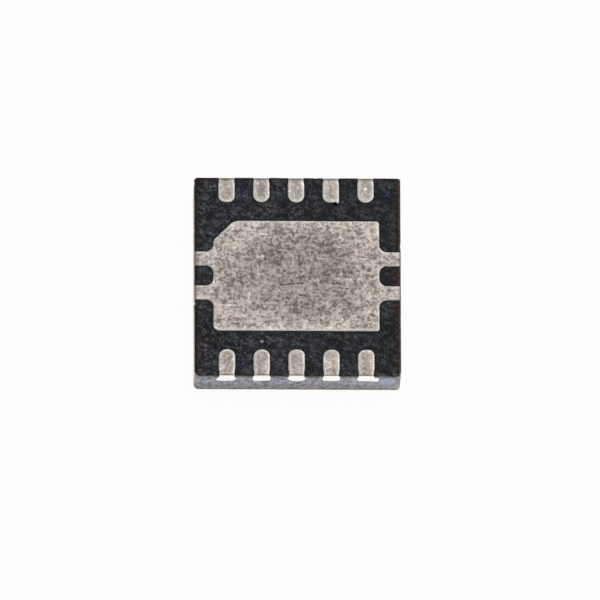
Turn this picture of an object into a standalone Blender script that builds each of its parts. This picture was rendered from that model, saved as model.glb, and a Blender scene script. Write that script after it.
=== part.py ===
"""Ten-lead plastic dual flat no-lead integrated circuit, about 3 x 3 x 0.75 mm.

The package lies on its marked face with its terminals up. X runs along the two rows of
leads, Y across them, and the origin is the middle of the marked face. The etched copper
leadframe is cut through together with the epoxy when the packages are sawn apart, so its
middle lies a little off the middle of the sawn block.
"""

import math

import bmesh
import bpy
from mathutils import Vector

MM = 0.001

# Sawn block.
BODY_LENGTH = 2.977 * MM
BODY_WIDTH = 2.977 * MM
PACKAGE_THICKNESS = 0.750 * MM
TERMINAL_STANDOFF = 0.010 * MM
BODY_CORNER_RADIUS = 0.060 * MM
BODY_EDGE_RADIUS = 0.040 * MM

# Leadframe sheet, and where its middle lies between the saw cuts.
FRAME_THICKNESS = 0.203 * MM
HALF_ETCH_DEPTH = 0.100 * MM
FRAME_OFFSET_X = -0.015 * MM
FRAME_OFFSET_Y = 0.008 * MM

# Leads, in two rows, each a little narrower where the saw cuts it.
LEADS_PER_ROW = 5
LEAD_PITCH = 0.500 * MM
LEAD_WIDTH = 0.236 * MM
LEAD_LENGTH = 0.3855 * MM
LEAD_TIP_RADIUS = 0.105 * MM
LEAD_TIP_SPAN = BODY_WIDTH - 2 * LEAD_LENGTH
NECK_INSET = 0.010 * MM
NECK_LENGTH = 0.045 * MM
NECK_SLOPE = 0.060 * MM
SHELF_TIP_OVERHANG = 0.060 * MM
SHELF_SIDE_OVERHANG = 0.020 * MM
SAW_ALLOWANCE = 0.150 * MM

# Die paddle with its exposed pad and tie bars.
PAD_TO_WALL = 0.2945 * MM
PAD_TO_LEAD = 0.278 * MM
PAD_LENGTH = BODY_LENGTH - 2 * PAD_TO_WALL
PAD_WIDTH = LEAD_TIP_SPAN - 2 * PAD_TO_LEAD
PAD_CORNER_RADIUS = 0.045 * MM
PIN_1_CHAMFER = 0.297 * MM
CHAMFER_SOFTENING = 0.080 * MM
PAD_RIM = 0.045 * MM
TIE_BAR_PITCH = 0.510 * MM
TIE_BAR_WIDTH = 0.214 * MM
TIE_BAR_FILLET = 0.110 * MM
PAD_END_LAP = 0.200 * MM

# Die and the film that glues it to the paddle.
DIE_LENGTH = 1.450 * MM
DIE_WIDTH = 1.000 * MM
DIE_THICKNESS = 0.200 * MM
ATTACH_THICKNESS = 0.025 * MM
ATTACH_SPREAD = 0.050 * MM
ATTACH_LIP = 0.012 * MM

# Bond wires, from a ball on the die to a flattened stitch on the lead.
DIE_PAD_INSET = 0.080 * MM
DIE_PAD_END_INSET = 0.145 * MM
DIE_PAD_PITCH = (DIE_LENGTH - 2 * DIE_PAD_END_INSET) / (LEADS_PER_ROW - 1)
WIRE_DIAMETER = 0.033 * MM
BALL_DIAMETER = 0.076 * MM
BALL_HEIGHT = 0.022 * MM
BALL_FLAT_SHARE = 0.75
LOOP_RISE = 0.170 * MM
LOOP_FLAT_SHARE = 0.45
STITCH_INSET = 0.070 * MM
STITCH_LENGTH = 0.080 * MM
STITCH_WIDTH = 0.056 * MM
STITCH_THICKNESS = 0.012 * MM

# Round mark at the pin 1 corner of the marked face.
MARK_DIAMETER = 0.280 * MM
MARK_DEPTH = 0.020 * MM
MARK_INSET = 0.450 * MM

# Clearances: around a moulded-in piece, and between pieces bonded face to face.
FIT = 0.004 * MM
BOND_LINE = 0.002 * MM

# Fineness of the round stretches.
WELD_DISTANCE = 0.00001 * MM
ARC_STEP = math.radians(18)
EDGE_SEGMENTS = 3
BALL_SIDES = 12
MARK_SIDES = 24
WIRE_SEGMENTS = 11

# Heights that follow from the sizes above.
TERMINAL_FACE = PACKAGE_THICKNESS
MOULDED_FACE = PACKAGE_THICKNESS - TERMINAL_STANDOFF
HALF_ETCHED_FACE = PACKAGE_THICKNESS - HALF_ETCH_DEPTH
FRAME_BACK = PACKAGE_THICKNESS - FRAME_THICKNESS
ATTACH_TOP = FRAME_BACK - BOND_LINE
DIE_TOP = ATTACH_TOP - ATTACH_THICKNESS - BOND_LINE
DIE_FACE = DIE_TOP - DIE_THICKNESS


def clear_scene():
    for item in list(bpy.data.objects):
        bpy.data.objects.remove(item)


def add_collection(name):
    collection = bpy.data.collections.new(name)
    bpy.context.scene.collection.children.link(collection)
    return collection


def add_material(name, colour, roughness, metallic):
    material = bpy.data.materials.new(name)
    material.use_nodes = True
    shader = material.node_tree.nodes["Principled BSDF"]
    shader.inputs["Base Color"].default_value = (*colour, 1.0)
    shader.inputs["Roughness"].default_value = roughness
    shader.inputs["Metallic"].default_value = metallic
    material.diffuse_color = (*colour, 1.0)
    return material


def add_object(name, data, collection):
    item = bpy.data.objects.new(name, data)
    collection.objects.link(item)
    return item


def finish_piece(item, material):
    """Give a piece its material and smooth shading on its rounded stretches."""
    item.data.materials.clear()
    item.data.materials.append(material)
    item.data.shade_smooth()
    item.data.set_sharp_from_angle(angle=math.radians(30))
    return item


def hide_guide(item):
    """Show a cutter as wires only."""
    item.hide_render = True
    item.display_type = "WIRE"
    return item


def frozen(item):
    """The same shape as a plain welded mesh that stands at the world's origin."""
    bpy.context.view_layer.update()
    evaluated = item.evaluated_get(bpy.context.evaluated_depsgraph_get())
    mesh = bpy.data.meshes.new_from_object(evaluated)
    mesh.transform(item.matrix_world)
    shape = bmesh.new()
    shape.from_mesh(mesh)
    bmesh.ops.remove_doubles(shape, verts=shape.verts, dist=WELD_DISTANCE)
    bmesh.ops.recalc_face_normals(shape, faces=shape.faces)
    shape.to_mesh(mesh)
    shape.free()
    name = item.name
    collection = item.users_collection[0]
    bpy.data.objects.remove(item)
    return add_object(name, mesh, collection)


def combined(base, others, operation):
    """Join, cut or trim one shape with others, which are used up by it."""
    for other in others:
        step = base.modifiers.new(operation.lower(), "BOOLEAN")
        step.operation = operation
        step.solver = "EXACT"
        step.object = other
    result = frozen(base)
    for other in others:
        bpy.data.objects.remove(other)
    return result


def arc(centre_x, centre_y, radius, start, turn):
    """Points along an arc; a positive turn runs counter-clockwise."""
    steps = max(1, round(abs(turn) / ARC_STEP))
    points = []
    for step in range(steps + 1):
        angle = start + turn * step / steps
        points.append((centre_x + radius * math.cos(angle), centre_y + radius * math.sin(angle)))
    return points


def plate(name, outline, low, high, collection):
    """Flat solid of one closed outline between two heights.

    It is drawn in millimetres and then made small, because points of a fill drawn in
    metres run together when they lie closer than 0.03 mm.
    """
    curve = bpy.data.curves.new(name, "CURVE")
    curve.dimensions = "2D"
    curve.fill_mode = "BOTH"
    curve.extrude = (high - low) / 2 / MM
    spline = curve.splines.new("POLY")
    spline.points.add(len(outline) - 1)
    for point, (x, y) in zip(spline.points, outline):
        point.co = (x / MM, y / MM, 0.0, 1.0)
    spline.use_cyclic_u = True
    item = add_object(name, curve, collection)
    item.scale = (MM, MM, MM)
    item.location.z = (low + high) / 2
    return frozen(item)


def block(name, length, width, low, high, collection):
    """Rectangular block centred on X and Y between two heights."""
    mesh = bpy.data.meshes.new(name)
    shape = bmesh.new()
    bmesh.ops.create_cube(shape, size=1.0)
    bmesh.ops.scale(shape, verts=shape.verts, vec=(length, width, high - low))
    bmesh.ops.translate(shape, verts=shape.verts, vec=(0.0, 0.0, (low + high) / 2))
    shape.to_mesh(mesh)
    shape.free()
    return add_object(name, mesh, collection)


def sawn_block(name, top, collection):
    """Block between the four saw cuts, with its corners and rims worn round."""
    half_x = BODY_LENGTH / 2 - BODY_CORNER_RADIUS
    half_y = BODY_WIDTH / 2 - BODY_CORNER_RADIUS
    quarter = math.pi / 2
    outline = arc(half_x, half_y, BODY_CORNER_RADIUS, 0.0, quarter)
    outline += arc(-half_x, half_y, BODY_CORNER_RADIUS, quarter, quarter)
    outline += arc(-half_x, -half_y, BODY_CORNER_RADIUS, 2 * quarter, quarter)
    outline += arc(half_x, -half_y, BODY_CORNER_RADIUS, 3 * quarter, quarter)
    item = plate(name, outline, 0.0, top, collection)
    rims = item.modifiers.new("rims", "BEVEL")
    rims.limit_method = "ANGLE"
    rims.angle_limit = math.radians(60)
    rims.width = BODY_EDGE_RADIUS
    rims.segments = EDGE_SEGMENTS
    return frozen(item)


def lead_outline(width, tip, outer, radius):
    """Bar with a round tip that points to -Y, and a slim neck towards the saw cut."""
    half = width / 2
    neck = half - NECK_INSET
    neck_low = LEAD_LENGTH - NECK_LENGTH
    shoulder = neck_low - NECK_SLOPE
    points = [(neck, outer), (-neck, outer), (-neck, neck_low), (-half, shoulder)]
    points += arc(-half + radius, tip + radius, radius, math.pi, math.pi / 2)
    points += arc(half - radius, tip + radius, radius, 1.5 * math.pi, math.pi / 2)
    return points + [(half, shoulder), (neck, neck_low)]


def lead_blank(name, grow, collection):
    """Lead as etched, still too long and too high, or with grow the space it fills."""
    outer = LEAD_LENGTH + abs(FRAME_OFFSET_Y) + SAW_ALLOWANCE
    foot = lead_outline(LEAD_WIDTH + 2 * grow, -grow, outer, LEAD_TIP_RADIUS + grow)
    shelf_width = LEAD_WIDTH + 2 * (SHELF_SIDE_OVERHANG + grow)
    shelf_radius = LEAD_TIP_RADIUS + SHELF_SIDE_OVERHANG + grow
    shelf = lead_outline(shelf_width, -SHELF_TIP_OVERHANG - grow, outer, shelf_radius)
    middle = (FRAME_BACK + HALF_ETCHED_FACE) / 2
    base = plate(name, shelf, FRAME_BACK - grow, HALF_ETCHED_FACE + grow, collection)
    top = plate(name + "_foot", foot, middle, TERMINAL_FACE + SAW_ALLOWANCE, collection)
    return combined(base, [top], "UNION")


def lead_places():
    """Middle of each foot's tip and the row's side, clockwise from the pin 1 corner."""
    places = []
    for side in (1, -1):
        for index in range(LEADS_PER_ROW):
            along = (index - (LEADS_PER_ROW - 1) / 2) * LEAD_PITCH * side
            x = FRAME_OFFSET_X + along
            y = FRAME_OFFSET_Y + side * LEAD_TIP_SPAN / 2
            places.append((x, y, side))
    return places


def put_in_row(item, place):
    x, y, side = place
    item.location = (x, y, 0.0)
    item.rotation_euler.z = 0.0 if side > 0 else math.pi
    return item


def pad_end(side, grow):
    """Outline of one end of the pad with its two tie bars, counter-clockwise.

    Side 1 is the +X end. The -X end is its mirror image, with the pin 1 corner cut off
    at 45 degrees. Both reach a little past the middle of the pad.
    """
    half_x = PAD_LENGTH / 2 + grow
    half_y = PAD_WIDTH / 2 + grow
    outer = BODY_LENGTH / 2 + abs(FRAME_OFFSET_X) + SAW_ALLOWANCE
    corner = PAD_CORNER_RADIUS + grow
    fillet = TIE_BAR_FILLET - grow
    half_bar = TIE_BAR_WIDTH / 2 + grow
    quarter = math.pi / 2
    points = [(-PAD_END_LAP, half_y), (-PAD_END_LAP, -half_y)]
    points += arc(half_x - corner, -half_y + corner, corner, 3 * quarter, quarter)
    for middle in (-TIE_BAR_PITCH / 2, TIE_BAR_PITCH / 2):
        low = middle - half_bar
        high = middle + half_bar
        points += arc(half_x + fillet, low - fillet, fillet, 2 * quarter, -quarter)
        points += [(outer, low), (outer, high)]
        points += arc(half_x + fillet, high + fillet, fillet, 3 * quarter, -quarter)
    if side > 0:
        return points + arc(half_x - corner, half_y - corner, corner, 0.0, quarter)
    cut = PIN_1_CHAMFER + grow * (2 - math.sqrt(2))
    soft = CHAMFER_SOFTENING + grow
    reach = soft * math.tan(quarter / 4)
    points += arc(half_x - soft, half_y - cut - reach, soft, 0.0, quarter / 2)
    points += arc(half_x - cut - reach, half_y - soft, soft, quarter / 2, quarter / 2)
    return [(-x, y) for x, y in reversed(points)]


def pad_plate(name, grow, low, high, collection):
    """Pad with its four tie bars between two heights."""
    end = plate(name, pad_end(1, grow), low, high, collection)
    other = plate(name + "_other_end", pad_end(-1, grow), low, high, collection)
    return combined(end, [other], "UNION")


def paddle_blank(name, grow, collection):
    """Paddle as etched, or with grow the space that it fills in the epoxy."""
    middle = (FRAME_BACK + HALF_ETCHED_FACE) / 2
    rim = pad_plate(name, PAD_RIM + grow, FRAME_BACK - grow, HALF_ETCHED_FACE + grow, collection)
    pad = pad_plate(name + "_pad", grow, middle, TERMINAL_FACE + SAW_ALLOWANCE, collection)
    item = combined(rim, [pad], "UNION")
    item.location = (FRAME_OFFSET_X, FRAME_OFFSET_Y, 0.0)
    return item


def attach_film(name, grow, collection):
    """Glue under the die, squeezed out to a sloping fillet that is widest on the paddle."""
    wide = 2 * (ATTACH_SPREAD + grow)
    narrow = 2 * (ATTACH_LIP + grow)
    low = ATTACH_TOP - ATTACH_THICKNESS - grow
    item = block(name, DIE_LENGTH + wide, DIE_WIDTH + wide, low, ATTACH_TOP + grow, collection)
    for vertex in item.data.vertices:
        if vertex.co.z < (low + ATTACH_TOP) / 2:
            vertex.co.x = math.copysign((DIE_LENGTH + narrow) / 2, vertex.co.x)
            vertex.co.y = math.copysign((DIE_WIDTH + narrow) / 2, vertex.co.y)
    item.location = (FRAME_OFFSET_X, FRAME_OFFSET_Y, 0.0)
    return item


def silicon_die(name, grow, collection):
    """Silicon die; its circuit side faces down, towards the marked face."""
    length = DIE_LENGTH + 2 * grow
    width = DIE_WIDTH + 2 * grow
    item = block(name, length, width, DIE_FACE - grow, DIE_TOP + grow, collection)
    item.location = (FRAME_OFFSET_X, FRAME_OFFSET_Y, 0.0)
    return item


def wire_ends(place):
    """Where a wire leaves the die and where it meets its lead's back."""
    x, y, side = place
    column = round((x - FRAME_OFFSET_X) / LEAD_PITCH)
    start_x = FRAME_OFFSET_X + column * DIE_PAD_PITCH
    start_y = FRAME_OFFSET_Y + side * (DIE_WIDTH / 2 - DIE_PAD_INSET)
    end_y = y + side * (STITCH_INSET - SHELF_TIP_OVERHANG)
    start = Vector((start_x, start_y, DIE_FACE - BOND_LINE))
    end = Vector((x, end_y, FRAME_BACK - BOND_LINE))
    return start, end


def loop_points(start, end):
    """Wire axis: straight off the ball, over the loop, then down to the lead."""
    low = start - Vector((0.0, 0.0, BALL_HEIGHT / 2))
    high = end - Vector((0.0, 0.0, WIRE_DIAMETER / 2))
    rise = Vector((0.0, 0.0, -LOOP_RISE))
    run = Vector((high.x - low.x, high.y - low.y, 0.0)) * LOOP_FLAT_SHARE
    handles = (low, low + rise, low + rise + run, high)
    points = []
    for step in range(WIRE_SEGMENTS + 1):
        share = step / WIRE_SEGMENTS
        rest = 1 - share
        point = rest**3 * handles[0]
        point += 3 * share * rest**2 * handles[1]
        point += 3 * share**2 * rest * handles[2]
        point += share**3 * handles[3]
        points.append(point)
    return points


def wire_tube(name, start, end, grow, collection):
    curve = bpy.data.curves.new(name, "CURVE")
    curve.dimensions = "3D"
    curve.bevel_depth = WIRE_DIAMETER / 2 + grow
    curve.bevel_resolution = 2
    curve.use_fill_caps = True
    points = loop_points(start, end)
    spline = curve.splines.new("POLY")
    spline.points.add(len(points) - 1)
    for point, place in zip(spline.points, points):
        point.co = (*place, 1.0)
    return frozen(add_object(name, curve, collection))


def bond_ball(name, start, grow, collection):
    """Ball pressed onto the die: a turned disc with a bulging side."""
    radius = BALL_DIAMETER / 2 + grow
    flat = radius * BALL_FLAT_SHARE
    top = grow
    low = -BALL_HEIGHT - grow
    middle = (top + low) / 2
    profile = [(0.0, top), (flat, top), (radius, middle), (flat, low), (0.0, low)]
    mesh = bpy.data.meshes.new(name)
    links = [(step, step + 1) for step in range(len(profile) - 1)]
    mesh.from_pydata([(x, 0.0, z) for x, z in profile], links, [])
    item = add_object(name, mesh, collection)
    item.location = start
    turn = item.modifiers.new("turn", "SCREW")
    turn.steps = BALL_SIDES
    turn.render_steps = BALL_SIDES
    turn.use_merge_vertices = True
    turn.merge_threshold = WELD_DISTANCE
    return frozen(item)


def bond_stitch(name, start, end, grow, collection):
    """End of the wire, squashed flat on the lead into a round-ended tail."""
    half = STITCH_WIDTH / 2 + grow
    reach = STITCH_LENGTH / 2 - STITCH_WIDTH / 2
    outline = arc(reach, 0.0, half, -math.pi / 2, math.pi)
    outline += arc(-reach, 0.0, half, math.pi / 2, math.pi)
    item = plate(name, outline, -STITCH_THICKNESS - grow, grow, collection)
    item.location = end
    item.rotation_euler.z = math.atan2(end.y - start.y, end.x - start.x)
    return item


def bond_wire(name, place, grow, collection):
    """Gold wire with its ball and stitch, or with grow the channel it runs in."""
    start, end = wire_ends(place)
    tube = wire_tube(name, start, end, grow, collection)
    ball = bond_ball(name + "_ball", start, grow, collection)
    stitch = bond_stitch(name + "_stitch", start, end, grow, collection)
    return combined(tube, [ball, stitch], "UNION")


def pin_1_mark(name, collection):
    """Shallow round recess in the marked face, at the pin 1 corner."""
    mesh = bpy.data.meshes.new(name)
    shape = bmesh.new()
    radius = MARK_DIAMETER / 2
    bmesh.ops.create_cone(shape, cap_ends=True, segments=MARK_SIDES, radius1=radius, radius2=radius,
                          depth=2 * MARK_DEPTH)
    shape.to_mesh(mesh)
    shape.free()
    item = add_object(name, mesh, collection)
    item.location = (-BODY_LENGTH / 2 + MARK_INSET, BODY_WIDTH / 2 - MARK_INSET, 0.0)
    return item


def insert_space(collection):
    """Everything that is moulded in, grown by its clearance and joined to one cutter."""
    others = [
        attach_film("space_attach", FIT, collection),
        silicon_die("space_die", FIT, collection),
    ]
    for number, place in enumerate(lead_places(), start=1):
        others.append(put_in_row(lead_blank(f"space_lead_{number}", FIT, collection), place))
        others.append(bond_wire(f"space_wire_{number}", place, FIT, collection))
    space = combined(paddle_blank("insert_space", FIT, collection), others, "UNION")
    return hide_guide(space)


def moulded_body(parts, guides, material):
    """Epoxy block, open where the copper comes through, solid round everything inside."""
    body = sawn_block("moulded_body", MOULDED_FACE, parts)
    for cutter in (insert_space(guides), hide_guide(pin_1_mark("mark_recess", guides))):
        cut = body.modifiers.new("cut_" + cutter.name, "BOOLEAN")
        cut.operation = "DIFFERENCE"
        cut.solver = "EXACT"
        cut.object = cutter
    return finish_piece(body, material)


def trimmed(item, envelope, material):
    """Cut an etched piece off where the saw and the terminal face end it."""
    trim = item.modifiers.new("saw_trim", "BOOLEAN")
    trim.operation = "INTERSECT"
    trim.solver = "EXACT"
    trim.object = envelope
    return finish_piece(item, material)


def build():
    clear_scene()
    parts = add_collection("integrated_circuit")
    guides = add_collection("cutters")

    epoxy = add_material("epoxy_mould_compound", (0.030, 0.030, 0.033), 0.55, 0.0)
    plating = add_material("plated_copper", (0.450, 0.400, 0.360), 0.40, 1.0)
    silicon = add_material("silicon", (0.180, 0.190, 0.230), 0.25, 0.3)
    glue = add_material("silver_epoxy", (0.420, 0.410, 0.400), 0.60, 0.4)
    gold = add_material("gold", (0.800, 0.560, 0.220), 0.25, 1.0)

    moulded_body(parts, guides, epoxy)

    envelope = hide_guide(sawn_block("saw_envelope", TERMINAL_FACE, guides))
    trimmed(paddle_blank("die_paddle", 0.0, parts), envelope, plating)
    for number, place in enumerate(lead_places(), start=1):
        lead = put_in_row(lead_blank(f"lead_{number}", 0.0, parts), place)
        trimmed(lead, envelope, plating)

    finish_piece(attach_film("die_attach", 0.0, parts), glue)
    finish_piece(silicon_die("die", 0.0, parts), silicon)
    for number, place in enumerate(lead_places(), start=1):
        finish_piece(bond_wire(f"bond_wire_{number}", place, 0.0, parts), gold)


build()
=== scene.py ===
"""Look of the ten-lead no-lead package that lies on its marked face, terminals up."""

import math

import bmesh
import bpy
import numpy as np
from mathutils import Matrix, Vector, geometry, noise


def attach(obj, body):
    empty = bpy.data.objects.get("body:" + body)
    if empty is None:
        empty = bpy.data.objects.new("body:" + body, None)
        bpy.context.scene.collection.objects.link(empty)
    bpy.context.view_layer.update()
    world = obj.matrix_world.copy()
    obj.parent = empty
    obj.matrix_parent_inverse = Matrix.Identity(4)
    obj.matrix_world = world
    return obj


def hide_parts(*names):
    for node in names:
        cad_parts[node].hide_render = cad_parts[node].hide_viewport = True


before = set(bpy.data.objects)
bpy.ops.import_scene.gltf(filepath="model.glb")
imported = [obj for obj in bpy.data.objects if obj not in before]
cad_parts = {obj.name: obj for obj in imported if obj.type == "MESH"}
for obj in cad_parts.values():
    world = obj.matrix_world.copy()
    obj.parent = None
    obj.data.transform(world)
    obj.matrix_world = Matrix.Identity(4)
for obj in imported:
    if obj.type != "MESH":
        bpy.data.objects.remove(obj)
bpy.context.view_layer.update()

# Camera. It stands in front of the package, a little to its left, and looks down on it
# at 73 degrees from 300 mm away, through a very long lens.
MM = 0.001
CAMERA_TILT = math.radians(73.2518)
CAMERA_SIDE = math.radians(-5.5493)
CAMERA_ROLL = math.radians(5.5941)
CAMERA_DISTANCE = 300.0 * MM
CAMERA_TARGET = Vector((0.0359, -0.3567, 0.750)) * MM

lens = bpy.data.cameras.new("copy_camera")
lens.sensor_width = 36.0
lens.lens = 1253.24
lens.clip_start = 0.01
lens.clip_end = 20.0
camera = bpy.data.objects.new("copy_camera", lens)
bpy.context.scene.collection.objects.link(camera)
turned = Matrix.Rotation(CAMERA_SIDE, 3, "Z") @ Matrix.Rotation(math.pi / 2 - CAMERA_TILT, 3, "X")
turned = turned @ Matrix.Rotation(CAMERA_ROLL, 3, "Z")
camera.location = CAMERA_TARGET + CAMERA_DISTANCE * turned.col[2]
camera.rotation_euler = turned.to_euler()
bpy.context.scene.camera = camera

# Moulded body. Black epoxy with glassy filler, pressed round the leadframe in one sheet
# and sawn apart with a diamond blade, which leaves lighter, streaked walls and four
# worn rims, coloured with painted shade and painted highlights. The surface towards the
# board is left as fine matte as the mould.
BODY_HALF_X = 1.4885
BODY_HALF_Y = 1.4885
BODY_TOP = 0.740
SKIN = 0.0006
RIM = 0.040
CORE_SWELL = 0.030
CORNER_ZONE = 0.090
CORNER_RADII = {(-1, 1): 0.060, (-1, -1): 0.082, (1, -1): 0.058, (1, 1): 0.042}
CORNER_STEP = 0.006
BODY_STEP = 0.026
RIM_WEAR = 0.30
WALL_WAVE = 0.0016
FACE_WAVE = 0.0014
# The saw took this much more off the left wall.
LEFT_LOSS = 0.003
# Places where an edge lost a crumb: side, place along it, width, depth and reach down.
CHIPS = [
    ("left", -0.400, 0.030, 0.050, 0.34),
    ("left", 1.395, 0.030, 0.012, 0.10),
    ("left", 0.700, 0.016, 0.008, 0.08),
    ("right", 0.470, 0.030, 0.012, 0.20),
    ("right", -1.446, 0.018, 0.020, 0.25),
    ("right", -0.620, 0.020, 0.007, 0.09),
    ("front", -0.300, 0.035, 0.006, 0.10),
    ("back", 0.270, 0.030, 0.007, 0.10),
]
# Bright filler grains that lie bare on the face.
FLECKS = [((-0.512, -0.975), 1.0), ((0.629, -1.326), 0.45), ((0.842, -1.328), 0.40)]


def wander(points, grain, seed):
    """Smooth noise from about -1 to 1 at points in millimetres."""
    shift = Vector((17.3 * seed, 5.1 * seed, 9.7 * seed))
    return np.array([noise.noise(Vector(p) / grain + shift) for p in points])


def places_along(half):
    """Lattice places between two sides, closer together in the corner zones."""
    zone = np.arange(0.0, CORNER_ZONE, CORNER_STEP)
    count = round((half + half - 2 * CORNER_ZONE) / BODY_STEP)
    middle = np.linspace(-half + CORNER_ZONE, half - CORNER_ZONE, count + 1)
    return np.concatenate([-half + zone, middle, (half - zone)[::-1]])


def lattice_skin(xs, ys, zs):
    """Points and quads on the six sides of a box lattice."""
    numbers = {}
    points = []
    quads = []

    def number(i, j, k):
        key = (i, j, k)
        if key not in numbers:
            numbers[key] = len(points)
            points.append((xs[i], ys[j], zs[k]))
        return numbers[key]

    last_x, last_y, last_z = len(xs) - 1, len(ys) - 1, len(zs) - 1
    for i in range(last_x):
        for j in range(last_y):
            for k, turn in ((0, -1), (last_z, 1)):
                ring = [(i, j), (i + 1, j), (i + 1, j + 1), (i, j + 1)][::turn]
                quads.append([number(a, b, k) for a, b in ring])
    for i in range(last_x):
        for k in range(last_z):
            for j, turn in ((0, 1), (last_y, -1)):
                ring = [(i, k), (i + 1, k), (i + 1, k + 1), (i, k + 1)][::turn]
                quads.append([number(a, j, b) for a, b in ring])
    for j in range(last_y):
        for k in range(last_z):
            for i, turn in ((0, -1), (last_x, 1)):
                ring = [(j, k), (j + 1, k), (j + 1, k + 1), (j, k + 1)][::turn]
                quads.append([number(i, a, b) for a, b in ring])
    return np.array(points), quads


def worn_block(points):
    """Round the corners and rims of the sharp lattice, and wear its rims unevenly."""
    x, y, z = points.T
    side_x = np.where(x < 0, -1.0, 1.0)
    side_y = np.where(y < 0, -1.0, 1.0)
    inset_x = BODY_HALF_X - abs(x)
    inset_y = BODY_HALF_Y - abs(y)
    inset = np.minimum(inset_x, inset_y)
    radius = np.array([CORNER_RADII[int(a), int(b)] for a, b in zip(side_x, side_y)])

    wear = 1.0 + RIM_WEAR * wander(points * (1, 1, 0), 0.16, 1)
    wear += 0.5 * RIM_WEAR * wander(points * (1, 1, 0), 0.045, 2)
    rim = RIM * np.clip(wear, 0.6, 1.4)
    depth_top = BODY_TOP - z
    on_top = depth_top <= 1e-9
    on_bottom = z <= 1e-9
    near_top = on_top & (inset < RIM) | ~on_top & ~on_bottom & (depth_top < RIM)
    near_low = on_bottom & (inset < RIM) | ~on_top & ~on_bottom & (z < RIM)
    from_edge = np.where(on_top | on_bottom, inset, np.minimum(depth_top, z))
    quarter = math.pi / 4
    face_side = quarter * (1 - from_edge / RIM)
    wall_side = quarter * (1 + from_edge / RIM)
    lean = np.where(on_top | on_bottom, face_side, wall_side)
    rounded = near_top | near_low
    new_inset = np.where(rounded, rim * (1 - np.sin(lean)), inset)
    drop = rim * (1 - np.cos(lean))
    new_z = np.where(near_top, BODY_TOP - drop, np.where(near_low, drop, z))

    u = radius - inset_x
    v = radius - inset_y
    cornered = (u > 0) & (v > 0)
    reach = np.maximum(np.hypot(u, v), 1e-9)
    out_x = BODY_HALF_X - radius + (radius - new_inset) * u / reach
    out_y = BODY_HALF_Y - radius + (radius - new_inset) * v / reach
    flat_x = np.where(inset_x <= inset_y, BODY_HALF_X - new_inset, abs(x))
    flat_y = np.where(inset_y < inset_x, BODY_HALF_Y - new_inset, abs(y))
    new_x = side_x * np.where(cornered, out_x, flat_x)
    new_y = side_y * np.where(cornered, out_y, flat_y)
    return np.stack([new_x, new_y, new_z], axis=1)


def weathered(points):
    """Press the faces in by a hair's breadth of waviness, and knock the chips out."""
    x, y, z = points.T
    slim = 1 - SKIN / BODY_HALF_X
    wave = 0.5 + 0.5 * wander(points, 0.11, 3) * wander(points, 0.4, 4)
    wave = np.clip(wave + 0.3 * wander(points, 0.05, 5), 0, 1)
    top_share = np.clip(z / BODY_TOP, 0, 1)
    new_z = SKIN + z * (1 - 2 * SKIN / BODY_TOP)
    flat = np.minimum(BODY_HALF_X - abs(x), BODY_HALF_Y - abs(y)) > 0.002
    new_z = new_z - np.where(flat, FACE_WAVE * wave * (2 * top_share - 1), 0.0)
    new_x = x * slim * (1 - np.where(flat, 0.0, WALL_WAVE * wave / BODY_HALF_X))
    new_y = y * slim * (1 - np.where(flat, 0.0, WALL_WAVE * wave / BODY_HALF_Y))
    new_x = np.where(new_x < 0, new_x * (1 - LEFT_LOSS / BODY_HALF_X), new_x)
    for side, place, width, depth, reach in CHIPS:
        sign = 1.0 if side in ("right", "back") else -1.0
        upright = side in ("left", "right")
        along = y if upright else x
        half = BODY_HALF_X if upright else BODY_HALF_Y
        gap = half - sign * (x if upright else y)
        bite = np.exp(-(((along - place) / width) ** 4))
        bite *= np.clip((z - (BODY_TOP - reach)) / reach, 0, 1) ** 0.5
        bite *= np.clip(1 - gap / (2.4 * depth + 0.03), 0, 1)
        if upright:
            new_x = new_x - sign * depth * bite
        else:
            new_y = new_y - sign * depth * bite
    return np.stack([new_x, new_y, new_z], axis=1)


def mesh_piece(name, points, faces):
    """Welded mesh object from points in millimetres, with its faces turned outwards."""
    mesh = bpy.data.meshes.new(name)
    mesh.from_pydata((np.asarray(points) * MM).tolist(), [], faces)
    shape = bmesh.new()
    shape.from_mesh(mesh)
    bmesh.ops.recalc_face_normals(shape, faces=shape.faces)
    shape.to_mesh(mesh)
    shape.free()
    item = bpy.data.objects.new(name, mesh)
    bpy.context.scene.collection.objects.link(item)
    return item


def boolean(item, other, operation):
    """Cut or trim a piece with another, which is used up by it."""
    step = item.modifiers.new(operation.lower(), "BOOLEAN")
    step.operation = operation
    step.solver = "MANIFOLD"
    step.object = other
    bpy.context.view_layer.update()
    evaluated = item.evaluated_get(bpy.context.evaluated_depsgraph_get())
    mesh = bpy.data.meshes.new_from_object(evaluated)
    item.modifiers.clear()
    item.data = mesh
    bpy.data.objects.remove(other)
    return item


def mould_core():
    """The solid mould with its pockets and wire channels, its skin moved out of the way."""
    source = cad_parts["moulded_body"].data
    shape = bmesh.new()
    shape.from_mesh(source)
    bmesh.ops.remove_doubles(shape, verts=shape.verts, dist=1e-8)
    for vertex in shape.verts:
        x, y, z = vertex.co / MM
        deep_x = BODY_HALF_X - RIM - abs(x)
        deep_y = BODY_HALF_Y - RIM - abs(y)
        deep_z = min(z, BODY_TOP - z) - RIM
        over = Vector((max(-deep_x, 0), max(-deep_y, 0), max(-deep_z, 0)))
        if over.length > 0.75 * RIM:
            out = over.normalized() * CORE_SWELL
            z_sign = 1 if z > BODY_TOP / 2 else -1
            shift = Vector((math.copysign(out.x, x), math.copysign(out.y, y), z_sign * out.z))
            vertex.co += shift * MM
    mesh = bpy.data.meshes.new("mould_core")
    shape.to_mesh(mesh)
    shape.free()
    core = bpy.data.objects.new("mould_core", mesh)
    bpy.context.scene.collection.objects.link(core)
    return core


def smooth_shaded(item, sharp_from):
    item.data.shade_smooth()
    item.data.set_sharp_from_angle(angle=math.radians(sharp_from))
    return item


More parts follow.
